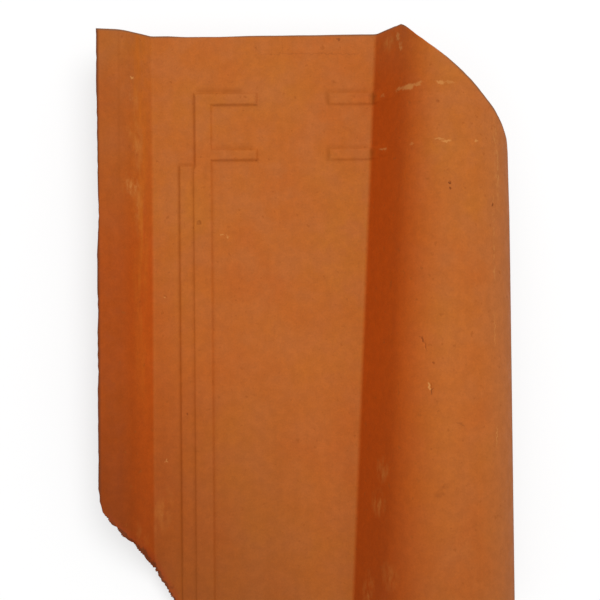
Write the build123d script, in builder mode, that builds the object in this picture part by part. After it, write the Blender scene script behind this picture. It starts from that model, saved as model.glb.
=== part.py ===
from build123d import *
from math import atan2, cos, degrees, radians, tan
import os

os.makedirs("parts", exist_ok=True)

# A single-lap clay pantile, pressed and fired in one piece.
# It is drawn level, X across from the upturned edge, Y up the slope from the tail,
# Z from the weather side of the flat pan, and then laid down as it rests on a floor.

length = 343.0
width = 241.0
thickness = 12.0
arris_radius = 1.0

# the upturned side: a nearly flat ledge, a fold, and a slope down to the pan
flank_rise = 20.8
flank_foot_x = 30.0
flank_slope = 50.0
ledge_fall = 12.0
fold_radius = 16.0

# the roll widens from head to tail, so that each tile closes over the one below
roll_width_head = 77.8
roll_width_tail = 95.0
crown_rise_head = 44.0
crown_rise_tail = 50.0
crown_share = 0.49
inner_wall_angle = 63.0
outer_wall_angle = 78.0
roll_edge_rise = 4.0
foot_radius = 3.0

# mitred corners: X and Y reach of each cut
head_cut_x = 64.0
head_cut_y = 70.0
head_cut_bow = 2.2
tail_cut_x = 49.0
tail_cut_y = 71.0

# weather bars pressed on the pan, and carried over the roll at the right as shallower arms
bar_height = 1.6
low_bar_height = 0.9
right_arm_height = 1.0
low_bar_x = 45.3
low_bar_width = 9.4
low_bar_drop = 77.0
long_bar_width = 10.3
arm_width = 8.1
arm_drops = (33.8, 67.5)
left_arm_length = 27.2
right_arm_run = 29.2
right_arm_inset = 15.0

# hanging nibs under the head of the pan
nib_width = 30.0
nib_depth = 13.0
nib_inset = 8.0
nib_head_drop = 6.0
nib_bearing_drop = 25.0
nib_lean = 18.0
nib_radius = 2.0

roll_foot_head_x = width - roll_width_head
roll_foot_tail_x = width - roll_width_tail
long_bar_x = low_bar_x + low_bar_width
left_arm_reach = long_bar_width + left_arm_length
right_arm_start_x = roll_foot_head_x - right_arm_run
right_skin_start_x = roll_foot_tail_x - right_arm_run
right_arm_reach = width - right_arm_inset - right_arm_start_x
nib_bottom = -thickness - nib_depth
nib_centres_x = (
    flank_foot_x + nib_inset + nib_width / 2,
    roll_foot_head_x - nib_inset - nib_width / 2,
)
headroom = 2 * crown_rise_tail


def roll_radius(run, rise, wall_angle):
    # radius of the crown that joins a straight wall to the level top of the roll
    return (run * tan(radians(wall_angle)) - rise) / (1 / cos(radians(wall_angle)) - 1)


def flank_line(end_x):
    # the weather side of the upturned edge and the pan
    fall = tan(radians(ledge_fall))
    slope = tan(radians(flank_slope))
    fold_x = (flank_foot_x * slope - flank_rise) / (slope - fall)
    fold = (fold_x, flank_rise - fall * fold_x)
    foot = (flank_foot_x, 0)
    with BuildLine() as line:
        Polyline((0, flank_rise), fold, foot, (end_x, 0))
        fillet(line.vertices().sort_by_distance(fold)[0], fold_radius)
        fillet(line.vertices().sort_by_distance(foot)[0], foot_radius)
    return line.line


def roll_line(start_x, roll_width, crown_rise):
    # the weather side of the roll, from the pan to the roll's lower edge
    foot = (width - roll_width, 0)
    inner_run = crown_share * roll_width
    outer_run = roll_width - inner_run
    crown = (width - outer_run, crown_rise)
    inner_radius = roll_radius(inner_run, crown_rise, inner_wall_angle)
    outer_radius = roll_radius(outer_run, crown_rise - roll_edge_rise, outer_wall_angle)
    with BuildLine() as line:
        inner_crown = JernArc(crown, (-1, 0), inner_radius, inner_wall_angle)
        Polyline((start_x, 0), foot, inner_crown @ 1)
        outer_crown = JernArc(crown, (1, 0), outer_radius, -outer_wall_angle)
        Line(outer_crown @ 1, (width, roll_edge_rise))
        fillet(line.vertices().sort_by_distance(foot)[0], foot_radius)
    return line.line


def draw_plan_outline():
    # the sheet seen from above, with the head cut bowed out and the tail cut straight
    head_cut_start = (width - head_cut_x, length)
    head_cut_end = (width, length - head_cut_y)
    Polyline(
        head_cut_start,
        (0, length),
        (0, tail_cut_y),
        (tail_cut_x, 0),
        (width, 0),
        head_cut_end,
    )
    SagittaArc(head_cut_start, head_cut_end, head_cut_bow)


head_plane = Plane.XZ.offset(-length)
roll_start_x = roll_foot_tail_x - 2 * foot_radius
roll_ends = (
    (head_plane, roll_width_head, crown_rise_head),
    (Plane.XZ, roll_width_tail, crown_rise_tail),
)

with BuildPart() as bars:
    # the arms at the right follow the pan and the roll, so they are cut from a lofted skin
    for plane, roll_width, crown_rise in roll_ends:
        with BuildSketch(plane):
            with BuildLine():
                add(roll_line(right_skin_start_x, roll_width, crown_rise))
                offset(amount=right_arm_height, side=Side.RIGHT, closed=False, mode=Mode.REPLACE)
                offset(amount=right_arm_height + thickness / 2, side=Side.LEFT)
            make_face()
    loft(ruled=True)
    with BuildSketch(Plane.XY.offset(-thickness)):
        for drop in arm_drops:
            with Locations((right_arm_start_x, length - drop)):
                Rectangle(right_arm_reach, arm_width, align=(Align.MIN, Align.MAX))
    extrude(amount=headroom, mode=Mode.INTERSECT)
    # a low bar on the flat pan, then a long one with two arms
    with BuildSketch(Plane.XY.offset(-thickness / 2)):
        with Locations((low_bar_x, 0)):
            Rectangle(low_bar_width, length - low_bar_drop, align=(Align.MIN, Align.MIN))
    extrude(amount=thickness / 2 + low_bar_height)
    with BuildSketch(Plane.XY.offset(-thickness / 2)):
        with Locations((long_bar_x, 0)):
            Rectangle(long_bar_width, length - arm_drops[0], align=(Align.MIN, Align.MIN))
        for drop in arm_drops:
            with Locations((long_bar_x, length - drop)):
                Rectangle(left_arm_reach, arm_width, align=(Align.MIN, Align.MAX))
    extrude(amount=thickness / 2 + bar_height)
    # they stop where the rounded rim begins
    with BuildSketch(Plane.XY.offset(-thickness)):
        with BuildLine():
            draw_plan_outline()
            offset(amount=-arris_radius)
        make_face()
    extrude(amount=headroom, mode=Mode.INTERSECT)

with BuildPart() as level_tile:
    with BuildSketch(head_plane):
        with BuildLine():
            add(flank_line(roll_start_x))
            offset(amount=thickness, side=Side.RIGHT)
        make_face()
    extrude(amount=length)
    for plane, roll_width, crown_rise in roll_ends:
        with BuildSketch(plane):
            with BuildLine():
                add(roll_line(roll_start_x, roll_width, crown_rise))
                offset(amount=thickness, side=Side.LEFT)
            make_face()
    loft(ruled=True)
    with BuildSketch(Plane.XY.offset(-thickness)):
        with BuildLine():
            draw_plan_outline()
        make_face()
    extrude(amount=headroom, mode=Mode.INTERSECT)
    # the rim is the upright cut faces and the slanted lower edge of the roll
    rim_faces = level_tile.faces().filter_by(lambda face: abs(face.normal_at().Z) < 0.01)
    rim_faces.append(level_tile.faces().filter_by(GeomType.PLANE).sort_by(Axis.X)[-1])
    fillet(rim_faces.edges(), arris_radius)
    add(bars.part)
    # nibs, drawn from the side: square to the batten below, leaning back to the head
    for centre_x in nib_centres_x:
        with BuildSketch(Plane.YZ.offset(centre_x)):
            with BuildLine():
                Polyline(
                    (length - nib_bearing_drop, -thickness / 2),
                    (length - nib_bearing_drop, nib_bottom),
                    (length - nib_head_drop - nib_depth * tan(radians(nib_lean)), nib_bottom),
                    (length - nib_head_drop, -thickness),
                    (length - nib_head_drop, -thickness / 2),
                    close=True,
                )
            make_face()
        extrude(amount=nib_width / 2, both=True)
    fillet(level_tile.edges().group_by(Axis.Z)[0], nib_radius)

# on a floor the nibs and the tail edge hold it, with the head a little higher
rest_tilt = degrees(atan2(nib_depth, length - nib_bearing_drop))

with BuildPart() as resting_tile:
    add(level_tile.part, rotation=(rest_tilt, 0, 0))

rest_box = resting_tile.part.bounding_box()

with BuildPart() as roof_tile:
    with Locations((-rest_box.center().X, -rest_box.center().Y, -rest_box.min.Z)):
        add(resting_tile.part)

roof_tile.part.label = "roof_tile"
export_step(roof_tile.part, "parts/roof_tile.step")
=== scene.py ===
import bpy
import bmesh
from math import sin, cos, tan, atan2, radians, sqrt
from mathutils import Vector, Matrix, noise
from mathutils.bvhtree import BVHTree


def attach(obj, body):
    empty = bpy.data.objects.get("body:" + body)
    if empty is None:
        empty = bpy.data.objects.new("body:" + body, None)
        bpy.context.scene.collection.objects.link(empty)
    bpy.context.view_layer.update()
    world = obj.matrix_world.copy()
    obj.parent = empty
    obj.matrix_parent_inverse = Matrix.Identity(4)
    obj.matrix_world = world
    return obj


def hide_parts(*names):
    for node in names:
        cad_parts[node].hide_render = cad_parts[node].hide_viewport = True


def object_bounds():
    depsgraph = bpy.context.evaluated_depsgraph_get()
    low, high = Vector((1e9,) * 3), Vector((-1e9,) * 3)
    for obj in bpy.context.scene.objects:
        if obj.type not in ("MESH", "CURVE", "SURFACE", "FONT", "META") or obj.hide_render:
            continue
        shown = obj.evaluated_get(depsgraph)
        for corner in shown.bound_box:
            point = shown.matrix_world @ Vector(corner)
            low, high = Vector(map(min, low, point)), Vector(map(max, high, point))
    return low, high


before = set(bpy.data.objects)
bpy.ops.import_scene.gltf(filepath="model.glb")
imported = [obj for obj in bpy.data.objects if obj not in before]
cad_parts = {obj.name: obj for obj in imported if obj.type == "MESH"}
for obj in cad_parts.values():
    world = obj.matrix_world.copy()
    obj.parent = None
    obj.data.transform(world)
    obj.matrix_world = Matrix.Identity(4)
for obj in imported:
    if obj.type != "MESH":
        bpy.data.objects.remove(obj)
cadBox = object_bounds()
mm = 0.001
weld = 0.01 * mm     # points nearer than this are one

# the tile is modelled level, X from the upturned side, Y from the tail, Z from the pan,
# and is tipped onto its nibs and its tail edge when it is finished
tile = {
    "length": 343.0,
    "width": 241.0,
    "thickness": 12.0,
    "arris": 1.0,        # radius of an arris before it is worn
    "arrisSteps": 3,
    "smooth": 50.0,      # degrees between faces up to which they are shaded as one
}
# how far up the normal of a face points when it is level, on the weather side, or holds the painted rim
# shade
facing = {"level": 0.99, "weather": 0.15, "rimShade": 0.08}


def deselectAll():
    if bpy.context.mode != "OBJECT":
        bpy.ops.object.mode_set(mode="OBJECT")
    bpy.ops.object.select_all(action="DESELECT")


def makeActive(obj):
    deselectAll()
    obj.select_set(True)
    bpy.context.view_layer.objects.active = obj


def pick(kind, test):
    # in edit mode: select only the verts, edges or faces that pass the test
    mesh = bpy.context.object.data
    bpy.ops.mesh.select_mode(type=kind)
    bpy.ops.mesh.select_all(action="DESELECT")
    bm = bmesh.from_edit_mesh(mesh)
    items = {"VERT": bm.verts, "EDGE": bm.edges, "FACE": bm.faces}[kind]
    count = 0
    for item in items:
        if test(item):
            item.select_set(True)
            count += 1
    bm.select_flush_mode()
    bmesh.update_edit_mesh(mesh)
    return count


def middle(edge):
    return (edge.verts[0].co + edge.verts[1].co) / 2


def centreOf(face):
    # in mm
    return [value / mm for value in face.calc_center_median()]


def uneven(co, patch):
    # about -1 to 1, changing over patches of this many mm
    return noise.noise(co / (patch * mm))


# the section of the weather side, drawn with a pen that runs and turns, in mm and degrees
sectionShape = {
    "flankRise": 20.8,
    "flankFoot": 30.0,
    "flankSlope": 50.0,
    "ledgeFall": 12.0,
    "foldRadius": 16.0,
    "footRadius": 3.0,
    "rollWidth": (95.0, 77.8),      # at the tail, at the head
    "crownRise": (50.0, 44.0),
    "crownShare": 0.49,
    "innerWall": 63.0,
    "outerWall": 78.0,
    "rollEdgeRise": 4.0,
    "lipReach": 16.0,               # the lip lies within this of the outer side
    "lipArris": (60.0, 0.9),        # least degrees between its faces, least share of it along Y
    "spareSide": 4.0,               # extra clay beyond the upturned edge, trimmed off later
    "spareEnd": 6.0,                # and beyond the tail and the head
    # where the flat pan has edges for the bars, each with the steps up to it
    "panStops": ((45.1, 5), (53.9, 4), (66.2, 5), (93.4, 8), (134.0, 12)),
    # sections along the tile, each with the cuts up to it, at the arms' edges
    "stations": ((266.0, 84), (267.0, 0), (275.8, 2), (300.0, 7), (309.2, 2)),
    "headCuts": 11,
    "steps": {"ledge": 5, "fold": 6, "flank": 5, "foot": 5, "panEnd": 5,
              "wall": 11, "innerCrown": 14, "outerCrown": 24, "lip": 4},
}


def penDown(x, y, z):
    # a small plane merged to the one point that the line grows from
    deselectAll()
    bpy.ops.mesh.primitive_plane_add(size=mm, location=(x * mm, y * mm, z * mm))
    bpy.ops.object.mode_set(mode="EDIT")
    bpy.ops.mesh.select_mode(type="VERT")
    bpy.ops.mesh.select_all(action="SELECT")
    bpy.ops.mesh.merge(type="CENTER")
    return {"x": x, "y": y, "z": z, "heading": 0.0}


def penRun(pen, length, steps):
    heading = radians(pen["heading"])
    step = Vector((cos(heading), 0, sin(heading))) * (length / steps)
    for _ in range(steps):
        bpy.ops.mesh.extrude_region_move(TRANSFORM_OT_translate={"value": step * mm})
    pen["x"] += step.x * steps
    pen["z"] += step.z * steps


def penTurn(pen, radius, turn, steps):
    # turn is in degrees, upwards when positive
    side = 1 if turn > 0 else -1
    heading = radians(pen["heading"])
    centre = Vector((pen["x"] - side * radius * sin(heading), pen["y"],
                     pen["z"] + side * radius * cos(heading)))
    bpy.ops.mesh.spin(steps=steps, angle=radians(turn), center=centre * mm, axis=(0, 1, 0))
    pen["heading"] += turn
    heading = radians(pen["heading"])
    pen["x"] = centre.x + side * radius * sin(heading)
    pen["z"] = centre.z - side * radius * cos(heading)


def crownArc(run, rise, wall):
    # radius of the arc from a straight wall to the level crown, and the length of that wall
    radius = (run * tan(radians(wall)) - rise) / (1 / cos(radians(wall)) - 1)
    return radius, (run - radius * sin(radians(wall))) / cos(radians(wall))


def drawSection(y):
    s = sectionShape
    steps = s["steps"]
    share = y / tile["length"]
    rollWidth = s["rollWidth"][0] + (s["rollWidth"][1] - s["rollWidth"][0]) * share
    crownRise = s["crownRise"][0] + (s["crownRise"][1] - s["crownRise"][0]) * share
    fall, slope = s["ledgeFall"], s["flankSlope"]
    foot = s["footRadius"]
    fallRate, slopeRate = tan(radians(fall)), tan(radians(slope))
    foldX = (s["flankFoot"] * slopeRate - s["flankRise"]) / (slopeRate - fallRate)
    foldRun = s["foldRadius"] * tan(radians(slope - fall) / 2)
    footRun = foot * tan(radians(slope) / 2)
    rollFootRun = foot * tan(radians(s["innerWall"]) / 2)
    # the upturned side, from outside its finished edge
    outside = s["spareSide"]
    pen = penDown(-outside, y, s["flankRise"] + outside * fallRate)
    pen["heading"] = -fall
    penRun(pen, (foldX + outside) / cos(radians(fall)) - foldRun, steps["ledge"])
    penTurn(pen, s["foldRadius"], fall - slope, steps["fold"])
    penRun(pen, (s["flankFoot"] - foldX) / cos(radians(slope)) - foldRun - footRun, steps["flank"])
    penTurn(pen, foot, slope, steps["foot"])
    # the flat pan
    for stop, count in s["panStops"]:
        penRun(pen, stop - pen["x"], count)
    penRun(pen, tile["width"] - rollWidth - rollFootRun - pen["x"], steps["panEnd"])
    # the roll: a straight wall, a crown of two arcs, and a steep lip
    innerRun = s["crownShare"] * rollWidth
    radius, straight = crownArc(innerRun, crownRise, s["innerWall"])
    penTurn(pen, foot, s["innerWall"], steps["foot"])
    penRun(pen, straight - rollFootRun, steps["wall"])
    penTurn(pen, radius, -s["innerWall"], steps["innerCrown"])
    radius, straight = crownArc(rollWidth - innerRun, crownRise - s["rollEdgeRise"], s["outerWall"])
    penTurn(pen, radius, -s["outerWall"], steps["outerCrown"])
    penRun(pen, straight, steps["lip"])
    bpy.ops.object.mode_set(mode="OBJECT")
    return bpy.context.object


def buildSheet():
    # sections at the arms' edges as well as at both ends, bridged into one skin
    spare = sectionShape["spareEnd"]
    stops = [(-spare, 0), *sectionShape["stations"], (tile["length"] + spare, sectionShape["headCuts"])]
    lines = [drawSection(y) for y, _ in stops]
    deselectAll()
    for line in lines:
        line.select_set(True)
    bpy.context.view_layer.objects.active = lines[0]
    bpy.ops.object.join()
    bpy.ops.object.transform_apply(location=True, rotation=True, scale=True)
    bpy.ops.object.mode_set(mode="EDIT")
    for (yA, _), (yB, cuts) in zip(stops, stops[1:]):

        def onEitherLine(edge):
            first, second = edge.verts[0].co.y, edge.verts[1].co.y
            return abs(first - second) < weld and min(abs(first - yA * mm), abs(first - yB * mm)) < weld

        pick("EDGE", onEitherLine)
        bpy.ops.mesh.bridge_edge_loops(number_cuts=cuts, interpolation="LINEAR")
    bpy.ops.mesh.select_all(action="SELECT")
    bpy.ops.mesh.remove_doubles(threshold=weld)
    bpy.ops.mesh.normals_make_consistent(inside=False)
    bm = bmesh.from_edit_mesh(bpy.context.object.data)
    if sum(f.normal.z for f in bm.faces) < 0:
        bpy.ops.mesh.flip_normals()
    bpy.ops.object.mode_set(mode="OBJECT")
    sheet = bpy.context.object
    sheet.name = "clayTile"
    return sheet


def thicken(sheet):
    makeActive(sheet)
    wall = sheet.modifiers.new("wall", "SOLIDIFY")
    wall.thickness = tile["thickness"] * mm
    wall.offset = -1
    wall.use_even_offset = True
    wall.use_rim = True
    bpy.ops.object.modifier_apply(modifier=wall.name)


def roundLip():
    # the slanted lower edge of the roll has two long arrises
    lipStart = (tile["width"] - sectionShape["lipReach"]) * mm
    sharp, lengthwise = sectionShape["lipArris"]

    def longArris(edge):
        if len(edge.link_faces) != 2 or edge.calc_face_angle(0) < radians(sharp):
            return False
        along = (edge.verts[0].co - edge.verts[1].co).normalized()
        return middle(edge).x > lipStart and abs(along.y) > lengthwise

    bpy.ops.object.mode_set(mode="EDIT")
    pick("EDGE", longArris)
    bpy.ops.mesh.bevel(offset=tile["arris"] * mm, segments=tile["arrisSteps"], profile=0.5, affect="EDGES")
    bpy.ops.object.mode_set(mode="OBJECT")


# the weather bars: outlines on the pan and the roll, and heights, in mm
bars = {
    "low": (45.1, 53.9, 266.0),      # left, right, head end
    "lowHeight": 0.9,
    "long": (53.9, 66.2, 309.2),
    "longHeight": 1.6,
    "leftArmEnd": 93.4,
    "rightArmStart": 134.0,
    "rightArmEnd": 226.0,
    "rightHeight": 1.0,
    "arms": ((300.0, 309.2), (267.0, 275.8)),
    # the soft side of a bar: width in mm and share of the rise of each strip
    "foot": ((0.45, 0.12), (0.40, 0.38), (0.40, 0.50)),
    "crest": ((0.35, 0.50), (0.35, 0.36), (0.40, 0.14)),
    "whole": ((0.45, 0.10), (0.40, 0.25), (0.40, 0.30), (0.40, 0.25), (0.40, 0.10)),
    "skirt": 0.4,                    # a strip round the foot that keeps the clay beside it flat
    "rubbed": 0.85,                  # share of an arm's height that is rubbed off on the roll
    "rubbedMost": 0.97,
    "rubChange": 0.6,
    "rubPatch": 9.0,
    "rubFrom": 1.5,                  # height on the roll where the rubbing starts
    "rubOver": 8.0,
    "rubMargin": 2.0,
    "slack": 0.01,                   # how far below the low bar's height its level faces may lie
}


def raiseFaces(test, height, side):
    count = pick("FACE", test)
    if side != "crest":
        bpy.ops.mesh.inset(thickness=bars["skirt"] * mm, depth=0, use_even_offset=True, use_outset=True)
    for width, share in bars[side]:
        bpy.ops.mesh.inset(thickness=width * mm, depth=share * height * mm, use_even_offset=True)
    print("bars:", count, "faces raised by", height)


def onArm(y, margin=0.0):
    return any(low - margin < y < high + margin for low, high in bars["arms"])


def onLongBar(x, y):
    left, right, end = bars["long"]
    return (left < x < right and y < end) or (onArm(y) and left < x < bars["leftArmEnd"])


def lowStep(face):
    x, y, _ = centreOf(face)
    left, right, end = bars["low"]
    return face.normal.z > facing["weather"] and ((left < x < right and y < end) or onLongBar(x, y))


def highStep(face):
    x, y, z = centreOf(face)
    raised = z > bars["lowHeight"] - bars["slack"]
    return face.normal.z > facing["level"] and raised and onLongBar(x, y)


def rightArm(face):
    x, y, _ = centreOf(face)
    onIt = onArm(y) and bars["rightArmStart"] < x < bars["rightArmEnd"]
    return face.normal.z > facing["weather"] and onIt


def rubArms(smooth):
    # the arms are rubbed nearly flat where they cross the roll
    b = bars
    mesh = bpy.context.object.data
    bm = bmesh.from_edit_mesh(mesh)
    for vert in bm.verts:
        x, y, z = (value / mm for value in vert.co)
        if z < b["rubFrom"] or x < b["rightArmStart"] or vert.normal.z < 0 or not onArm(y, b["rubMargin"]):
            continue
        foot = smooth.find_nearest(vert.co)[0]
        share = min(1, max(0, (z - b["rubFrom"]) / b["rubOver"]))
        rubbed = b["rubbed"] * (1 + b["rubChange"] * uneven(vert.co, b["rubPatch"]))
        vert.co = foot.lerp(vert.co, 1 - min(b["rubbedMost"], rubbed) * share)
    bmesh.update_edit_mesh(mesh)


def pressBars():
    bpy.ops.object.mode_set(mode="EDIT")
    smooth = BVHTree.FromBMesh(bmesh.from_edit_mesh(bpy.context.object.data))
    raiseFaces(lowStep, bars["lowHeight"], "foot")
    raiseFaces(highStep, bars["longHeight"] - bars["lowHeight"], "crest")
    raiseFaces(rightArm, bars["rightHeight"], "whole")
    rubArms(smooth)
    bpy.ops.object.mode_set(mode="OBJECT")


# the trims that were cut from the pressed sheet, as upright planes
# each has a point and the direction of the clay that stays
trims = {
    "leftEdge": ((0, 100), (1, 0)),
    "tail": ((100, 0), (0, 1)),
    "head": ((100, 342.98), (0, -1)),
    "shoulder": ((0.0, 77.0), (0.9947, 0.1026)),
    "shoulderLow": ((0.6, 70.4), (0.975, 0.222)),
    "tailCut": ((4.0, 61.2), (0.828, 0.5606)),
    "headCutA": ((177.0, 342.3), (-0.694, -0.7195)),
    "headCutB": ((214.4, 306.2), (-0.728, -0.685)),
    "headCutC": ((224.5, 296.2), (-0.790, -0.613)),
    "headCutD": ((232.8, 286.0), (-0.854, -0.5206)),
    "headCutE": ((237.8, 278.2), (-0.9216, -0.388)),
}
arrisLines = (0.35, 1.0, 2.2)      # mm in from a trim, where the arris has its own edge loops


def trimSheet():
    bpy.ops.object.mode_set(mode="EDIT")
    for (px, py), (nx, ny) in trims.values():
        bpy.ops.mesh.select_all(action="SELECT")
        bpy.ops.mesh.bisect(plane_co=(px * mm, py * mm, 0), plane_no=(nx, ny, 0), use_fill=True,
                            clear_inner=True, threshold=weld)
    for (px, py), (nx, ny) in trims.values():
        for inset in arrisLines:
            bpy.ops.mesh.select_all(action="SELECT")
            bpy.ops.mesh.bisect(plane_co=((px + nx * inset) * mm, (py + ny * inset) * mm, 0),
                                plane_no=(nx, ny, 0), threshold=weld)
    pick("FACE", lambda face: len(face.verts) > 4)
    bpy.ops.mesh.quads_convert_to_tris(quad_method="BEAUTY", ngon_method="BEAUTY")
    bpy.ops.object.mode_set(mode="OBJECT")


print("clay tile: sheet")
clayTile = buildSheet()
thicken(clayTile)
roundLip()
print("clay tile: bars")
pressBars()
print("clay tile: trims")
trimSheet()

# the nibs that hang on a batten, under the head of the pan
nibs = {
    "centres": (53.0, 140.2),
    "width": 30.0,
    "near": 318.0,           # the face that bears on the batten
    "far": 337.0,
    "depth": 13.0,
    "lean": 18.0,
    "round": 2.0,
    "around": 8.0,           # how much of the underside is cut to fit the nibs
    "behind": 5.0,
    "slack": 0.1,            # how near to a nib's face its own verts lie
}


def addNibs():
    n = nibs
    near, far = n["near"], n["far"]
    under = -tile["thickness"]
    bpy.ops.object.mode_set(mode="EDIT")
    for centre in n["centres"]:
        left, right = centre - n["width"] / 2, centre + n["width"] / 2

        def nearNib(face):
            x, y, _ = centreOf(face)
            beside = left - n["around"] < x < right + n["around"]
            along = near - n["around"] < y < far + n["behind"]
            return face.normal.z < -facing["level"] and beside and along

        def onNib(face):
            x, y, _ = centreOf(face)
            return face.normal.z < -facing["level"] and left < x < right and near < y < far

        for x, y, nx, ny in ((left, 0, 1, 0), (right, 0, 1, 0), (0, near, 0, 1), (0, far, 0, 1)):
            pick("FACE", nearNib)
            bpy.ops.mesh.bisect(plane_co=(x * mm, y * mm, 0), plane_no=(nx, ny, 0), threshold=weld)
        pick("FACE", onNib)
        bpy.ops.mesh.extrude_region_move(TRANSFORM_OT_translate={"value": (0, 0, -n["depth"] * mm)})
    pick("FACE", lambda face: centreOf(face)[2] < under - n["slack"])
    bpy.ops.mesh.dissolve_limited(angle_limit=radians(1))
    low = (under - n["depth"] + n["slack"]) * mm
    pick("VERT", lambda vert: vert.co.z < low and vert.co.y > (far - n["slack"]) * mm)
    bpy.ops.transform.translate(value=(0, -n["depth"] * tan(radians(n["lean"])) * mm, 0))
    pick("EDGE", lambda edge: max(vert.co.z for vert in edge.verts) < low)
    bpy.ops.mesh.bevel(offset=n["round"] * mm, segments=tile["arrisSteps"], profile=0.5, affect="EDGES")
    bpy.ops.object.mode_set(mode="OBJECT")


print("clay tile: nibs")
addNibs()

# how uneven the rim and the weather side are, in mm
wear = {
    "arris": 1.1,                   # mean radius of a worn arris
    "arrisChange": 0.5,
    "arrisPatch": 14,
    "brokenArris": (0.6, 0.5, 3),   # at the broken corner: share of the radius, its change and patch
    "rub": 0.25,
    "rubMean": 0.5,
    "rubPatch": 9,
    "rubbed": ("leftEdge", "tail", "headCutA", "tailCut"),
    "leftChange": (0.8, 7),         # change and patch of the left edge
    "leftOut": 0.1,
    "fade": 8,                      # a loss at the rim fades over this much
    "broken": (64, 5),              # the break starts at this Y and is full after so much
    "teeth": ((1.5, 3.6), (1.3, 1.6), (0.9, 0.8)),      # height and size of the break's teeth
    "teethOut": 0.35,
    "lip": (228, 8),                # the lip's loss starts at this X and is full after so much
    "wave": 0.15,
    "waveMean": 0.6,
    "wavePatch": 34,
    "cutFace": (0.97, 0.05),        # how squarely a trim's own face looks out, and how near it lies
    "pressed": (-3.0, 0.3),         # the pressed face lies above this, and its normal points up more
    "pitShape": 0.7,                # below 1 a pit has a flat floor and steep sides
}

# how far the broken and handled edges stand in from their straight trims, in mm,
# along Y for the left side, its cut corner and the roll's lip, along X for the others
edgeLoss = {
    "leftEdge": ((80, 0.0), (190, 0.0), (212, 0.1), (225, 0.5), (238, 0.9), (252, 0.6), (275, 0.3),
                 (310, 0.0)),
    "tailCut": ((0, 0.0), (8, 0.8), (10.4, 0.5), (14.4, 1.4), (19.4, 1.1), (23.9, 1.7), (29, 2.5),
                (34.2, 2.8), (39.6, 3.1), (43.5, 3.6), (45.2, 2.6), (46.8, 1.3), (51, 0.9),
                (53.5, 0.6), (56.2, -0.3), (61, -0.4)),
    "head": ((0, 0.0), (40, 0.0), (49, 0.5), (70, 0.6), (86, 0.2), (160, 0.0)),
    "headCutA": ((178, 0.0), (182, 1.1), (185, 1.8), (188, 1.5), (191, 1.4), (196, 0.9), (201, 0.4),
                 (206, 0.2), (214, 0.0)),
    "lip": ((200, 0.0), (235, 0.1), (252, 0.4), (268, 0.6), (280, 0.4)),
}

# chips and pits in the weather side: place, radius across, radius along, depth, in mm
pits = (
    ((57.3, 231.1), 1.3, 1.6, 0.45),
    ((200.7, 248.4), 0.7, 0.9, 0.6),
    ((200.9, 245.1), 0.6, 0.8, 0.5),
    ((226.1, 236.6), 0.8, 1.1, 0.5),
    ((189.9, 148.3), 0.9, 1.0, 0.4),
    ((188.3, 135.2), 0.9, 2.6, 0.5),
    ((160.6, 304.2), 1.4, 3.0, 0.25),
    ((159.7, 271.0), 1.2, 2.2, 0.2),
    ((184.2, 161.5), 0.6, 1.8, 0.35),
    ((185.8, 158.0), 0.6, 1.8, 0.35),
    ((36.8, 187.4), 1.1, 0.8, 0.35),
    ((36.7, 90.4), 0.9, 0.9, 0.3),
    ((49.3, 118.0), 0.9, 0.9, 0.35),
    ((194.7, 294.0), 0.9, 0.9, 0.35),
)

# smaller faces where the break and the pits are shaped, in mm
finer = {
    "breakReaches": (9.0, 4.5, 2.4),      # each halves the faces this near to the cut
    "breakOutside": -1.0,
    "breakEnd": 90.0,
    "breakFacing": -0.3,
    "pitReaches": ((3.2, 3), (2.4, 2)),   # distance and cuts
    "pitsAbove": -4.0,
}


def refineFaces():
    (px, py), (nx, ny) = trims["tailCut"]
    bpy.ops.object.mode_set(mode="EDIT")
    for reach in finer["breakReaches"]:

        def nearBreak(face):
            x, y, _ = centreOf(face)
            inside = (x - px) * nx + (y - py) * ny
            nearCut = finer["breakOutside"] < inside < reach and y < finer["breakEnd"]
            return face.normal.z > finer["breakFacing"] and nearCut

        pick("FACE", nearBreak)
        bpy.ops.mesh.subdivide(number_cuts=1)
    for reach, cuts in finer["pitReaches"]:

        def nearPit(face):
            x, y, z = centreOf(face)
            near = any(abs(x - pitX) < reach and abs(y - pitY) < reach for (pitX, pitY), *_ in pits)
            return face.normal.z > facing["weather"] and z > finer["pitsAbove"] and near

        pick("FACE", nearPit)
        bpy.ops.mesh.subdivide(number_cuts=cuts)
    bpy.ops.mesh.select_all(action="SELECT")
    bpy.ops.mesh.quads_convert_to_tris(quad_method="BEAUTY", ngon_method="BEAUTY")
    bpy.ops.object.mode_set(mode="OBJECT")


def lossAt(name, place):
    # between the points of its table an edge runs straight
    table = edgeLoss[name]
    if place <= table[0][0]:
        return table[0][1]
    for (start, a), (end, b) in zip(table, table[1:]):
        if place <= end:
            return a + (b - a) * (place - start) / (end - start)
    return table[-1][1]


def trimPlanes():
    planes = []
    for name, ((px, py), (nx, ny)) in trims.items():
        planes.append((name, Vector((px, py, 0)) * mm, Vector((nx, ny, 0)).normalized()))
    return planes


def findCutFaces(bm, planes):
    # the upright faces that the trims left
    square, near = wear["cutFace"]
    cutFaces = set()
    for face in bm.faces:
        centre = face.calc_center_median()
        for _, point, inward in planes:
            if face.normal.dot(inward) < -square and abs((centre - point).dot(inward)) < near * mm:
                cutFaces.add(face.index)
    return cutFaces


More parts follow.
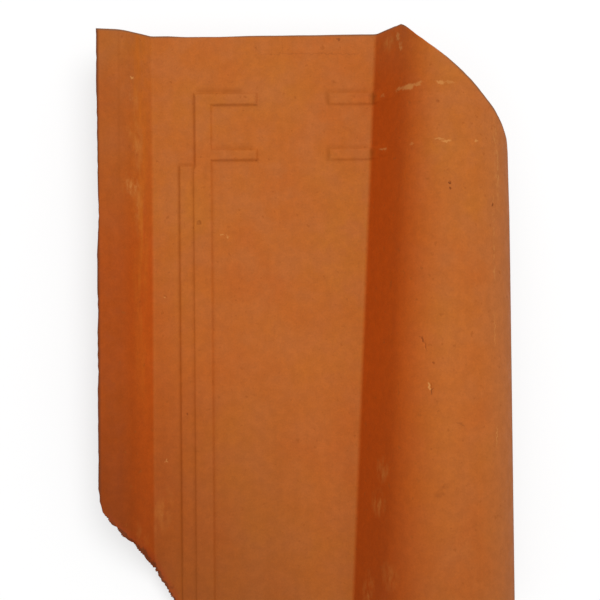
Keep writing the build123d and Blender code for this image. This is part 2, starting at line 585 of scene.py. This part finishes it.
def arrisMove(vert, planes, cutFaces):
    # down into the sheet, the more the nearer the vert is to a trim
    sheetFaces = [f for f in vert.link_faces if f.index not in cutFaces]
    if not sheetFaces:
        return Vector((0, 0, 0))
    normal = sum((f.normal for f in sheetFaces), Vector()).normalized()
    drop = 0
    for name, point, inward in planes:
        inset = (vert.co - point).dot(inward)
        if inset < arrisLines[-1] * mm:
            normal = (normal - inward * normal.dot(inward)).normalized()
        radius = (wear["arris"] + wear["arrisChange"] * uneven(vert.co, wear["arrisPatch"])) * mm
        if name == "tailCut":
            share, change, patch = wear["brokenArris"]
            radius *= share + change * uneven(vert.co, patch)
        if inset < radius:
            drop = max(drop, radius - sqrt(max(0, radius ** 2 - (radius - inset) ** 2)))
    return -normal * drop


def rimLoss(name, co):
    # how far this trim's edge stands in here, in mm
    loss = wear["rub"] * (wear["rubMean"] + uneven(co, wear["rubPatch"])) if name in wear["rubbed"] else 0
    if name == "tailCut":
        start, over = wear["broken"]
        broken = min(1, max(0, (start - co.y / mm) / over))
        teeth = sum(height * abs(uneven(co, size)) for height, size in wear["teeth"])
        loss += lossAt(name, co.y / mm)
        loss += broken * (teeth - wear["teethOut"])
    if name == "leftEdge":
        change, patch = wear["leftChange"]
        loss += lossAt(name, co.y / mm) + change * abs(uneven(co, patch)) - wear["leftOut"]
    if name in ("head", "headCutA"):
        loss += lossAt(name, co.x / mm)
    return max(0, loss)


def addPits(move, co, normal):
    # the pressed face isn't quite even, and it is pitted in places
    move.z -= wear["wave"] * (wear["waveMean"] + uneven(co, wear["wavePatch"])) * mm
    for (x, y), across, upward, depth in pits:
        away = ((co.x / mm - x) / across) ** 2 + ((co.y / mm - y) / upward) ** 2
        if away < 1:
            move -= normal * depth * (1 - away) ** wear["pitShape"] * mm


def wearTile():
    bm = bmesh.new()
    bm.from_mesh(clayTile.data)
    bm.normal_update()
    planes = trimPlanes()
    cutFaces = findCutFaces(bm, planes)
    lipStart, lipOver = wear["lip"]
    pressedFrom, pressedFacing = wear["pressed"]
    moves = []
    for vert in bm.verts:
        co = vert.co.copy()
        move = arrisMove(vert, planes, cutFaces)
        for name, point, inward in planes:
            inset = (co - point).dot(inward) / mm
            if inset <= wear["fade"]:
                fade = max(0, 1 - inset / wear["fade"]) ** 2
                move += inward * rimLoss(name, co) * fade * mm
        if co.x > lipStart * mm:
            move.x -= lossAt("lip", co.y / mm) * min(1, (co.x / mm - lipStart) / lipOver) * mm
        if co.z > pressedFrom * mm and vert.normal.z > pressedFacing:
            addPits(move, co, vert.normal)
        # nothing may stand out past a trim
        for _, point, inward in planes:
            outside = (co + move - point).dot(inward)
            if outside < 0:
                move -= inward * outside
        moves.append((vert, move))
    for vert, move in moves:
        vert.co += move
    # the material keeps the painted shade of the rim to the weather side
    bm.normal_update()
    weather = bm.faces.layers.float.new("weather")
    for face in bm.faces:
        face[weather] = 1.0 if face.normal.z > facing["rimShade"] else 0.0
    bm.to_mesh(clayTile.data)
    bm.free()


def restPlace():
    # on a floor the nibs and the rounded tail edge hold the tile, with the head a little higher
    tilt = atan2(nibs["depth"], nibs["near"])
    arris = tile["arris"]
    under = tile["thickness"] - arris
    headReach = (tile["length"] - arris) * cos(tilt) + under * sin(tilt) + arris
    tailDrop = under * cos(tilt) - arris * sin(tilt) + arris
    return tilt, Vector((cadBox[0].x, cadBox[1].y - headReach * mm, tailDrop * mm))


def toRest():
    tilt, corner = restPlace()
    return Matrix.Translation(corner) @ Matrix.Rotation(tilt, 4, "X")


print("clay tile: worn edges")
refineFaces()
wearTile()

makeActive(clayTile)
bpy.ops.object.shade_smooth_by_angle(angle=radians(tile["smooth"]))
clayTile.data.transform(toRest())

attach(clayTile, "root")
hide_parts("roof_tile")

# fired clay: sandy orange where light and weather have bleached it, deeper in the trough as painted shade
clay = {
    "sandy": (0.494, 0.141, 0.0175),
    "orange": (0.494, 0.120, 0.017),
    "pale": (0.486, 0.138, 0.030),
    # painted shade for the roll's inner wall, the upturned side and the pan beside it
    "deepShade": (0.510, 0.078, 0.0020),
    "band": (0.535, 0.136, 0.011),
    "broken": (0.330, 0.050, 0.008),
    # the break's darker core with painted shadow along its arris, and painted shade on the left arris
    "coreAndShadow": (0.150, 0.036, 0.009),
    "rubbed": (0.620, 0.255, 0.064),
    "smear": (0.560, 0.190, 0.034),
    # painted light on the roll's lower edge
    "lip": (0.500, 0.155, 0.040),
    # painted shade on the rim round the head
    "arrisShade": (0.200, 0.095, 0.045),
    # painted shade with some dirt in the creases at the bars' feet
    "creaseShadeAndDirt": (0.310, 0.068, 0.003),
    "dent": (0.330, 0.078, 0.008),
    "spot": (0.170, 0.038, 0.006),
    "specular": 0.15,
    "dirtInDents": 0.45,
    "relief": {"grain": 0.2, "pressed": 0.6, "dents": 0.6, "strength": 0.3, "depth": 0.4},
}

# noise in the clay: scale, detail, roughness, then the stretch that is used and what it becomes
clouds = {
    "broad": (16, 2, 0.55, 0.35, 0.65),
    "patch": (60, 4, 0.60, 0.44, 0.62, 0.0, 0.7),
    "dapple": (190, 3, 0.60, 0.40, 0.64, 0.950, 1.03),
    "streak": (260, 2, 0.55, 0.35, 0.70),
    "grain": (900, 3, 0.60),
    "dents": (300, 2, 0.50, 0.66, 0.75),
    "creaseNoise": (110, 3, 0.55, 0.30, 0.62, 0.45, 1.0),
    "ragged": (300, 3, 0.55),
    "flakes": (620, 3, 0.70, 0.48, 0.66),
    "smears": (230, 4, 0.60, 0.40, 0.62),
    "roughness": (120, 3, 0.55, 0.3, 0.7, 0.66, 0.84),
    "pressed": (250, 4, 0.55),
}

# the streaks and flakes are drawn out along the tile
drawnOut = {"streak": (1, 0.12, 1), "flakes": (1, 0.45, 1)}

# where the tones lie on the level tile: from and to in mm, then what the zone is worth at each
zones = {
    # the painted shade of the roll's wall, the upturned side and the pan beside it
    "wallReach": (60, 300, 0.052, 0.039),      # metres from the roll's foot
    "wallFoot": (-1.2, 1.2),
    "wallHead": (345, 300, 0.55, 1.0),
    "flank": (31, 29),
    "flankTail": (325, 205, 0.0, 0.80),
    "beside": (85, 35),
    "besideTail": (240, 120, 0.0, 0.38),
    "orangeTail": (260, 100, 0.0, 0.4),
    "band": (5, 1),
    "bandHead": (100, 220, 0.0, 0.90),
    # painted light along the roll's lower edge
    "lip": (216, 234, 0.0, 0.7),
    # painted shade to the tail and the left, on the ledge and the crown, and painted light next to the roll
    "lowTail": (150, -10),
    "lowLeft": (240, 30, 0.35, 1.0),
    "ledge": (25, 13, 0.05, 1.0),
    "ledgeTail": (340, 50, 0.14, 0.33),
    "crown": (165, 195),
    "crownHead": (120, 200, 0.0, 0.04),
    "paintedLight": (30, 0),
    "paintedLightTail": (170, 80, 0.0, 0.10),
    "weatherSide": (-4, -2),
    "broken": (64, 54),
    "brokenStart": (58, 44, 0.0, 0.0034),      # metres that the break stands in
    "brokenEnd": (36, 8, 0.0, 0.0028),
    "brokenEdge": (6.6, 3.6, 0.0, 0.6),
    # near the broken edge: the darker core with painted shadow
    "coreAndShadow": (3.8, 3.1, 0.0, 0.8),
    # painted shade on the left arris and on the rim round the head
    "leftArris": (2.1, 0.9, 0.0, 0.8),
    "rim": (1.7, 0.8, 0.0, 0.75),
}
zoneMiddles = {"band": 23.5, "paintedLight": 130.0}
# the roll's wall gets its deepest painted shade within this
wallFull = 8.0      # mm from the roll's foot within which the wall is deepest

# how much a measure darkens or brightens the clay, painted shade for low and beside, the clay's own tone for
# streak and grain: from, to, and the factor at each
shades = {
    "low": (0, 1, 1.0, 0.63),
    "beside": (0, 0.38, 1.0, 0.935),
    "streak": (0, 1, 0.985, 1.02),
    "grain": (0.3, 0.7, 0.94, 1.05),
}

# marks on the weather side: place, half width and half length, turn, strength, all level and in mm
marks = {
    "light": (
        ((19.8, 315.4, 12.2), (0.8, 0.8), 0, 0.95),
        ((36.8, 187.4, 0.0), (0.9, 0.7), 0, 0.6),
        ((36.7, 90.4, 0.0), (0.9, 0.9), 0, 0.55),
        ((70.9, 223.7, 0.0), (1.1, 0.45), 15, 0.6),
        ((74.2, 223.0, 0.0), (0.6, 1.0), 10, 0.6),
        ((188.2, 135.4, 46.6), (0.5, 2.0), 8, 0.9),
        ((175.2, 304.6, 26.8), (2.8, 0.9), -4, 0.50),
        ((179.4, 304.2, 33.8), (3.6, 1.6), -4, 0.72),
        ((183.9, 304.9, 38.9), (3.2, 0.9), 6, 0.50),
        ((196.2, 304.6, 44.3), (2.2, 1.0), -10, 0.6),
        ((201.5, 304.6, 44.6), (2.6, 0.5), -4, 0.3),
        ((166.1, 304.0, 12.8), (1.6, 0.7), 0, 0.3),
        ((166.3, 272.0, 13.0), (2.3, 0.7), -8, 0.55),
        ((180.6, 271.6, 37.7), (1.4, 0.6), 0, 0.35),
        ((195.6, 273.0, 44.8), (3.0, 0.45), 2, 0.5),
        ((199.0, 271.8, 45.3), (2.6, 0.7), -3, 0.6),
        ((216.0, 272.0, 41.7), (0.9, 1.2), 0, 0.6),
        ((174.7, 335.5, 22.0), (0.9, 2.4), 8, 0.5),
        ((175.9, 329.3, 24.0), (0.7, 2.6), 4, 0.5),
        ((226.2, 166.0, 35.6), (0.35, 9.0), 0, 0.35),
        ((226.7, 106.0, 35.4), (0.35, 5.5), 0, 0.55),
    ),
    "scuffed": (
        ((228.8, 262.0, 32.0), (1.6, 26.0), 2, 0.5),
        ((226.4, 214.0, 36.0), (0.7, 28.0), 0, 0.4),
        ((19.4, 305.0, 12.0), (1.2, 3.0), 0, 0.3),
        ((19.6, 252.0, 12.0), (4.5, 5.0), 0, 0.45),
    ),
    "smeared": (
        ((21.6, 298.0, 11.5), (1.3, 12.0), 1, 0.5),
        ((22.8, 276.0, 10.5), (2.2, 14.0), -1, 0.70),
        ((18.2, 283.0, 13.0), (1.6, 5.0), 0, 0.5),
        ((19.5, 252.0, 12.5), (5.0, 6.5), 0, 0.60),
        ((23.4, 240.0, 10.0), (2.4, 14.0), 0, 0.7),
        ((34.6, 60.0, 0.0), (4.4, 11.0), -12, 0.40),
        ((170.4, 333.4, 13.0), (2.8, 3.8), 0, 0.85),
        ((163.0, 87.0, 25.0), (4.6, 6.0), 0, 0.65),
        ((160.4, 68.0, 22.0), (5.0, 6.5), 0, 0.75),
        ((167.0, 28.0, 33.0), (6.0, 7.0), 30, 0.5),
        ((155.0, 14.0, 16.0), (4.0, 11.0), 0, 0.6),
        ((23.4, 47.0, 8.0), (3.0, 8.0), 10, 0.25),
    ),
    "dark": (
        ((57.3, 231.1, 0.0), (1.3, 1.5), 10, 0.28),
        ((58.6, 245.0, 0.0), (0.8, 0.8), 0, 0.15),
        ((49.3, 118.0, 0.0), (0.8, 0.8), 0, 0.5),
        ((140.9, 340.2, 0.0), (1.2, 0.6), 0, 0.5),
        ((39.7, 15.8, 0.0), (1.4, 1.0), 0, 0.4),
        ((200.7, 248.4, 45.6), (0.7, 0.9), 0, 0.8),
        ((200.9, 245.1, 45.6), (0.6, 0.8), 0, 0.7),
        ((226.1, 236.6, 35.4), (0.7, 1.1), 0, 0.7),
        ((184.2, 161.3, 44.4), (0.5, 2.4), 25, 0.5),
        ((186.0, 157.2, 45.2), (0.35, 2.8), 22, 0.4),
        ((189.7, 148.5, 46.7), (0.5, 0.6), 0, 0.45),
        ((188.9, 132.8, 46.7), (0.45, 1.8), -20, 0.75),
        ((205.0, 114.5, 48.0), (2.6, 0.5), -12, 0.25),
        ((196.0, 80.5, 48.8), (4.8, 1.6), 32, 0.16),
        ((192.6, 76.0, 48.6), (3.0, 1.3), 10, 0.18),
        ((194.7, 294.0, 44.3), (0.9, 0.9), 0, 0.25),
        ((125.0, 331.4, 0.0), (33.0, 0.3), 0, 0.22),
        ((107.7, 336.0, 0.0), (0.3, 5.0), 0, 0.18),
        ((146.0, 286.0, 0.0), (4.0, 1.0), -35, 0.10),
    ),
}
markDepth = 6.0                            # half height of a mark, so that it stays on its own side
markEdges = {"light": (1.25, 0.7), "scuffed": (1.25, 0.7), "smeared": (1.5, 0.3), "dark": (1.25, 0.7)}
raggedness = {"scale": 420.0, "detail": 3.0, "reach": 0.004}

# painted shade and some dirt along the feet of the bars and in the fold: middle, half width and half length,
# strength
creases = (
    ((45.3, 132.0), (0.7, 134.0), 0.42),
    ((49.6, 266.0), (4.4, 0.8), 0.38),
    ((54.2, 288.0), (0.7, 21.0), 0.22),
    ((54.4, 130.0), (0.5, 136.0), 0.22),
    ((65.8, 130.0), (0.6, 134.0), 0.15),
    ((70.0, 309.8), (13.5, 1.3), 0.52),
    ((80.4, 300.4), (12.8, 0.6), 0.08),
    ((78.5, 276.0), (11.5, 1.3), 0.34),
    ((80.4, 267.1), (12.8, 0.6), 0.06),
    ((134.0, 305.0), (0.8, 4.0), 0.50),
    ((134.0, 271.4), (0.8, 4.0), 0.50),
    ((147.0, 299.8), (13.0, 0.6), 0.05),
    ((146.0, 309.0), (12.0, 1.1), 0.34),
    ((147.0, 267.1), (13.0, 0.6), 0.06),
    ((146.0, 275.6), (12.0, 1.1), 0.34),
    ((160.9, 304.2), (1.6, 3.2), 0.60),
    ((159.9, 271.0), (1.4, 2.6), 0.55),
    ((12.9, 300.0), (0.6, 45.0), 0.22),
)
creaseSoftness = 0.9      # share of the smaller half by which a line's side fades


def addNode(tree, kind, sockets=None, **settings):
    node = tree.nodes.new(kind)
    for key, value in settings.items():
        setattr(node, key, value)
    for key, value in (sockets or {}).items():
        if isinstance(value, bpy.types.NodeSocket):
            tree.links.new(value, node.inputs[key])
        else:
            node.inputs[key].default_value = value
    return node


def colour4(rgb):
    return (*rgb, 1.0)


def mixColours(tree, factor, a, b, blend="MIX"):
    # a Mix node keeps its factor at 0 and its two colours at 6 and 7
    node = addNode(tree, "ShaderNodeMix", data_type="RGBA", blend_type=blend)
    for socket, value in ((node.inputs[0], factor), (node.inputs[6], a), (node.inputs[7], b)):
        if isinstance(value, bpy.types.NodeSocket):
            tree.links.new(value, socket)
        else:
            socket.default_value = value
    return node.outputs[2]


def layer(tree, tone, factor, name):
    return mixColours(tree, factor, tone, colour4(clay[name]))


def maths(tree, operation, a, b=0.0, clamp=False):
    return addNode(tree, "ShaderNodeMath", {0: a, 1: b}, operation=operation, use_clamp=clamp).outputs[0]


def times(tree, *values):
    total = values[0]
    for value in values[1:]:
        total = maths(tree, "MULTIPLY", total, value)
    return total


def awayFrom(tree, value, place):
    return maths(tree, "ABSOLUTE", maths(tree, "SUBTRACT", value, place * mm))


def ramp(tree, value, low, high, outLow=0.0, outHigh=1.0):
    node = addNode(tree, "ShaderNodeMapRange", {"Value": value, "From Min": low, "From Max": high,
                                                "To Min": outLow, "To Max": outHigh}, clamp=True)
    return node.outputs["Result"]


def zone(tree, value, name):
    start, end, *worth = zones[name]
    return ramp(tree, value, start * mm, end * mm, *worth)


def cloud(tree, place, name):
    scale, detail, rough, *stretch = clouds[name]
    node = addNode(tree, "ShaderNodeTexNoise", {"Vector": place, "Scale": scale, "Detail": detail,
                                                "Roughness": rough})
    if stretch:
        return ramp(tree, node.outputs["Fac"], *stretch)
    return node.outputs["Fac"]


def insideTrim(tree, level, name):
    # metres from a trim's plane into the clay
    (px, py), (nx, ny) = trims[name]
    reach = addNode(tree, "ShaderNodeVectorMath", {0: level, 1: (nx, ny, 0)}, operation="DOT_PRODUCT")
    return maths(tree, "SUBTRACT", reach.outputs["Value"], (px * nx + py * ny) * mm)


def markMask(tree, place, group):
    # the strongest of a group of soft-edged ellipsoids
    outer, inner = markEdges[group]
    total = None
    for (x, y, z), (across, upward), turn, strength in marks[group]:
        local = addNode(tree, "ShaderNodeMapping",
                        {"Vector": place, "Location": Vector((x, y, z)) * mm,
                         "Rotation": (0, 0, radians(turn)),
                         "Scale": (across * mm, upward * mm, markDepth * mm)},
                        vector_type="TEXTURE").outputs[0]
        reach = addNode(tree, "ShaderNodeVectorMath", {0: local}, operation="LENGTH").outputs["Value"]
        mask = ramp(tree, reach, outer, inner, 0.0, strength)
        total = mask if total is None else maths(tree, "MAXIMUM", total, mask)
    return total


def creaseMask(tree, x, y, z):
    # straight lines with soft sides, on the weather side only
    total = None
    for (cx, cy), (across, upward), strength in creases:
        soft = creaseSoftness * min(across, upward)
        sides = []
        for value, centre, half in ((x, cx, across), (y, cy, upward)):
            away = awayFrom(tree, value, centre)
            sides.append(ramp(tree, away, (half + soft) * mm, (half - soft) * mm))
        mask = times(tree, *sides, strength)
        total = mask if total is None else maths(tree, "MAXIMUM", total, mask)
    return times(tree, total, zone(tree, z, "weatherSide"))


def placeOnTile(tree):
    # the pattern is placed on the level tile, in metres from its left tail corner
    tilt, corner = restPlace()
    where = addNode(tree, "ShaderNodeTexCoord").outputs["Object"]
    level = addNode(tree, "ShaderNodeMapping", {"Vector": where, "Location": corner,
                                                "Rotation": (tilt, 0, 0)},
                    vector_type="TEXTURE").outputs[0]
    x, y, z = addNode(tree, "ShaderNodeSeparateXYZ", {0: level}).outputs
    return {"level": level, "x": x, "y": y, "z": z}


def mottledTone(tree, at):
    # broad clouds, patches, streaks along the tile, and fine grain
    level = at["level"]
    broad = cloud(tree, level, "broad")
    patch = cloud(tree, level, "patch")
    at["dapple"] = cloud(tree, level, "dapple")
    drawn = addNode(tree, "ShaderNodeMapping", {"Vector": level, "Scale": drawnOut["streak"]}).outputs[0]
    at["streak"] = cloud(tree, drawn, "streak")
    at["grain"] = cloud(tree, level, "grain")
    tone = mixColours(tree, broad, colour4(clay["sandy"]), colour4(clay["orange"]))
    return layer(tree, tone, patch, "pale")


def deepenTone(tree, at, tone):
    # painted shade, deeper and redder: the trough beside the roll, the upturned side and the pan next to it
    x, y = at["x"], at["y"]
    tailFoot, headFoot = ((tile["width"] - across) * mm for across in sectionShape["rollWidth"])
    foot = ramp(tree, y, 0.0, tile["length"] * mm, tailFoot, headFoot)
    up = maths(tree, "SUBTRACT", x, foot)
    reach = zone(tree, y, "wallReach")
    fading = addNode(tree, "ShaderNodeMapRange", {"Value": up, "From Min": reach, "From Max": wallFull * mm},
                     clamp=True, interpolation_type="SMOOTHSTEP").outputs["Result"]
    wall = times(tree, zone(tree, up, "wallFoot"), fading, zone(tree, y, "wallHead"))
    at["flank"] = zone(tree, x, "flank")
    flank = times(tree, at["flank"], zone(tree, y, "flankTail"))
    at["beside"] = times(tree, zone(tree, x, "beside"), zone(tree, y, "besideTail"))
    deepShade = maths(tree, "MAXIMUM", maths(tree, "MAXIMUM", wall, flank), at["beside"])
    tone = layer(tree, tone, zone(tree, y, "orangeTail"), "orange")
    tone = layer(tree, tone, deepShade, "deepShade")
    # a brighter band drawn down the slope of the upturned side
    band = zone(tree, awayFrom(tree, x, zoneMiddles["band"]), "band")
    band = times(tree, band, zone(tree, y, "bandHead"), at["streak"])
    tone = layer(tree, tone, band, "band")
    # painted light: paler along the roll's lower edge, which faces outwards to the light
    return layer(tree, tone, zone(tree, x, "lip"), "lip")


def shadeTone(tree, at, tone):
    # painted shade to the tail and the left, on the ledge and the crown; dapples and streaks of the clay's
    # own
    x, y = at["x"], at["y"]
    low = times(tree, zone(tree, y, "lowTail"), zone(tree, x, "lowLeft"))
    ledge = times(tree, zone(tree, x, "ledge"), zone(tree, y, "ledgeTail"), at["flank"])
    shade = times(tree, ramp(tree, low, *shades["low"]), at["dapple"], maths(tree, "SUBTRACT", 1.0, ledge))
    besideOnPan = times(tree, at["beside"], maths(tree, "SUBTRACT", 1.0, at["flank"]))
    shade = times(tree, shade, ramp(tree, besideOnPan, *shades["beside"]))
    crown = times(tree, zone(tree, x, "crown"), zone(tree, y, "crownHead"))
    shade = times(tree, shade, maths(tree, "SUBTRACT", 1.0, crown))
    # painted light: it stays brighter on the pan next to the roll
    paintedLight = zone(tree, awayFrom(tree, x, zoneMiddles["paintedLight"]), "paintedLight")
    paintedLight = times(tree, paintedLight, zone(tree, y, "paintedLightTail"))
    shade = times(tree, shade, maths(tree, "ADD", 1.0, paintedLight))
    shade = times(tree, shade, ramp(tree, at["streak"], *shades["streak"]))
    shade = times(tree, shade, ramp(tree, at["grain"], *shades["grain"]))
    grey = addNode(tree, "ShaderNodeCombineColor", {0: shade, 1: shade, 2: shade}).outputs[0]
    return mixColours(tree, 1.0, tone, grey, "MULTIPLY")


def dirtAndCreaseShadeTone(tree, at, tone):
    # scattered small dents hold a little dirt, and the feet of the bars get painted shade with some dirt
    at["dents"] = cloud(tree, at["level"], "dents")
    tone = layer(tree, tone, times(tree, at["dents"], clay["dirtInDents"]), "dent")
    creaseNoise = cloud(tree, at["level"], "creaseNoise")
    return layer(tree, tone, times(tree, creaseMask(tree, at["x"], at["y"], at["z"]), creaseNoise), "creaseShadeAndDirt")


def breakTone(tree, at, tone):
    # the broken corner shows a darker, redder core, with painted shadow along the broken arris
    y = at["y"]
    inside = insideTrim(tree, at["level"], "tailCut")
    lost = maths(tree, "SUBTRACT", zone(tree, y, "brokenStart"), zone(tree, y, "brokenEnd"))
    inside = maths(tree, "ADD", inside, times(tree, cloud(tree, at["level"], "ragged"), raggedness["reach"]))
    inside = maths(tree, "SUBTRACT", inside, lost)
    broken = zone(tree, y, "broken")
    tone = layer(tree, tone, times(tree, zone(tree, inside, "brokenEdge"), broken), "broken")
    return layer(tree, tone, times(tree, zone(tree, inside, "coreAndShadow"), broken), "coreAndShadow")


def arrisShadeTone(tree, at, tone):
    # painted shade on the arrises of the weather side, along the left edge and round the head
    weather = addNode(tree, "ShaderNodeAttribute", attribute_name="weather").outputs["Fac"]
    tone = layer(tree, tone, times(tree, zone(tree, at["x"], "leftArris"), weather), "coreAndShadow")
    inside = maths(tree, "MINIMUM", maths(tree, "SUBTRACT", tile["length"] * mm, at["y"]),
                   maths(tree, "SUBTRACT", tile["width"] * mm, at["x"]))
    for name in trims:
        if name.startswith("headCut"):
            inside = maths(tree, "MINIMUM", inside, insideTrim(tree, at["level"], name))
    return layer(tree, tone, times(tree, zone(tree, inside, "rim"), weather), "arrisShade")


def markTone(tree, at, tone):
    # marks with ragged outlines
    level = at["level"]
    wobble = addNode(tree, "ShaderNodeTexNoise", {"Vector": level, "Scale": raggedness["scale"],
                                                  "Detail": raggedness["detail"]}).outputs["Color"]
    centred = addNode(tree, "ShaderNodeVectorMath", {0: wobble, 1: (0.5, 0.5, 0.5)},
                      operation="SUBTRACT").outputs[0]
    ragged = addNode(tree, "ShaderNodeVectorMath", {0: centred, 1: (raggedness["reach"],) * 3, 2: level},
                     operation="MULTIPLY_ADD").outputs[0]
    flaky = addNode(tree, "ShaderNodeMapping", {"Vector": level, "Scale": drawnOut["flakes"]}).outputs[0]
    flakes = cloud(tree, flaky, "flakes")
    scuffed = times(tree, markMask(tree, ragged, "scuffed"), flakes)
    smears = cloud(tree, flaky, "smears")
    tone = layer(tree, tone, times(tree, markMask(tree, ragged, "smeared"), smears), "smear")
    light = maths(tree, "MAXIMUM", markMask(tree, ragged, "light"), scuffed)
    tone = layer(tree, tone, light, "rubbed")
    return layer(tree, tone, markMask(tree, ragged, "dark"), "spot")


def clayRelief(tree, at):
    # fine relief of the pressed clay
    relief = clay["relief"]
    pressed = times(tree, cloud(tree, at["level"], "pressed"), relief["pressed"])
    height = maths(tree, "ADD", times(tree, at["grain"], relief["grain"]), pressed)
    height = maths(tree, "SUBTRACT", height, times(tree, at["dents"], relief["dents"]))
    bump = addNode(tree, "ShaderNodeBump", {"Height": height, "Strength": relief["strength"],
                                            "Distance": relief["depth"] * mm})
    return bump.outputs[0]


def newMaterial(name):
    material = bpy.data.materials.new(name)
    material.use_nodes = True
    material.node_tree.nodes.clear()
    return material, material.node_tree


def makeClay():
    material, tree = newMaterial("firedClay")
    output = addNode(tree, "ShaderNodeOutputMaterial")
    shader = addNode(tree, "ShaderNodeBsdfPrincipled")
    shader.inputs["Specular IOR Level"].default_value = clay["specular"]
    tree.links.new(shader.outputs[0], output.inputs[0])
    at = placeOnTile(tree)
    tone = mottledTone(tree, at)
    for step in (deepenTone, shadeTone, dirtAndCreaseShadeTone, breakTone, arrisShadeTone, markTone):
        tone = step(tree, at, tone)
    tree.links.new(tone, shader.inputs["Base Color"])
    tree.links.new(cloud(tree, at["level"], "roughness"), shader.inputs["Roughness"])
    tree.links.new(clayRelief(tree, at), shader.inputs["Normal"])
    return material


print("clay tile: material")
clayTile.data.materials.clear()
clayTile.data.materials.append(makeClay())


# the setting: a white floor and one broad soft lamp from the upper right
setting = {
    "floorSize": 6.0,
    "floorDiffuse": 0.42,
    "floorGlow": 0.61,
    "worldStrength": 0.60,
    "lampPlace": (0.45, 0.60, 1.9),
    "lampSize": 1.3,
    "lampPower": 19.5,
}
view = {
    "place": (116.8, 169.3, 700.0),   # mm, from the level tile's left tail corner
    "tilt": 1.272,                    # degrees, towards the head
    "roll": -0.542,
    "lens": 70.89,
    "sensor": 36,
}


def makeFloor():
    bpy.ops.mesh.primitive_plane_add(size=setting["floorSize"], location=(0, 0, 0))
    floor = bpy.context.object
    floor.name = "floor"
    material, tree = newMaterial("whiteFloor")
    paint = addNode(tree, "ShaderNodeBsdfDiffuse", {"Color": colour4((setting["floorDiffuse"],) * 3)})
    glow = addNode(tree, "ShaderNodeEmission", {"Color": (1, 1, 1, 1), "Strength": setting["floorGlow"]})
    both = addNode(tree, "ShaderNodeAddShader", {0: paint.outputs[0], 1: glow.outputs[0]})
    rays = addNode(tree, "ShaderNodeLightPath").outputs
    seen = maths(tree, "ADD", rays["Is Camera Ray"], rays["Is Glossy Ray"], clamp=True)
    mix = addNode(tree, "ShaderNodeMixShader", {0: seen, 1: paint.outputs[0], 2: both.outputs[0]})
    addNode(tree, "ShaderNodeOutputMaterial", {0: mix.outputs[0]})
    floor.data.materials.append(material)


def makeLight():
    world = bpy.data.worlds.new("softRoom")
    bpy.context.scene.world = world
    world.use_nodes = True
    tree = world.node_tree
    tree.nodes.clear()
    rays = addNode(tree, "ShaderNodeLightPath").outputs
    strength = addNode(tree, "ShaderNodeMix", {0: rays["Is Camera Ray"], 2: setting["worldStrength"],
                                               3: 1.0})
    background = addNode(tree, "ShaderNodeBackground", {"Color": (1, 1, 1, 1),
                                                        "Strength": strength.outputs[0]})
    addNode(tree, "ShaderNodeOutputWorld", {0: background.outputs[0]})
    data = bpy.data.lights.new("softLamp", "AREA")
    data.shape = "DISK"
    data.size = setting["lampSize"]
    data.energy = setting["lampPower"]
    lamp = bpy.data.objects.new("softLamp", data)
    bpy.context.scene.collection.objects.link(lamp)
    lamp.location = setting["lampPlace"]
    lamp.rotation_euler = (-Vector(setting["lampPlace"])).to_track_quat("-Z", "Y").to_euler()


def makeCamera():
    data = bpy.data.cameras.new("camera")
    data.lens = view["lens"]
    data.sensor_width = view["sensor"]
    camera = bpy.data.objects.new("camera", data)
    bpy.context.scene.collection.objects.link(camera)
    camera.matrix_world = (toRest() @ Matrix.Translation(Vector(view["place"]) * mm)
                           @ Matrix.Rotation(radians(view["tilt"]), 4, "X")
                           @ Matrix.Rotation(radians(view["roll"]), 4, "Z"))
    bpy.context.scene.camera = camera


print("floor, light and camera")
deselectAll()
makeFloor()
makeLight()
makeCamera()
bpy.context.scene.view_settings.view_transform = "Standard"
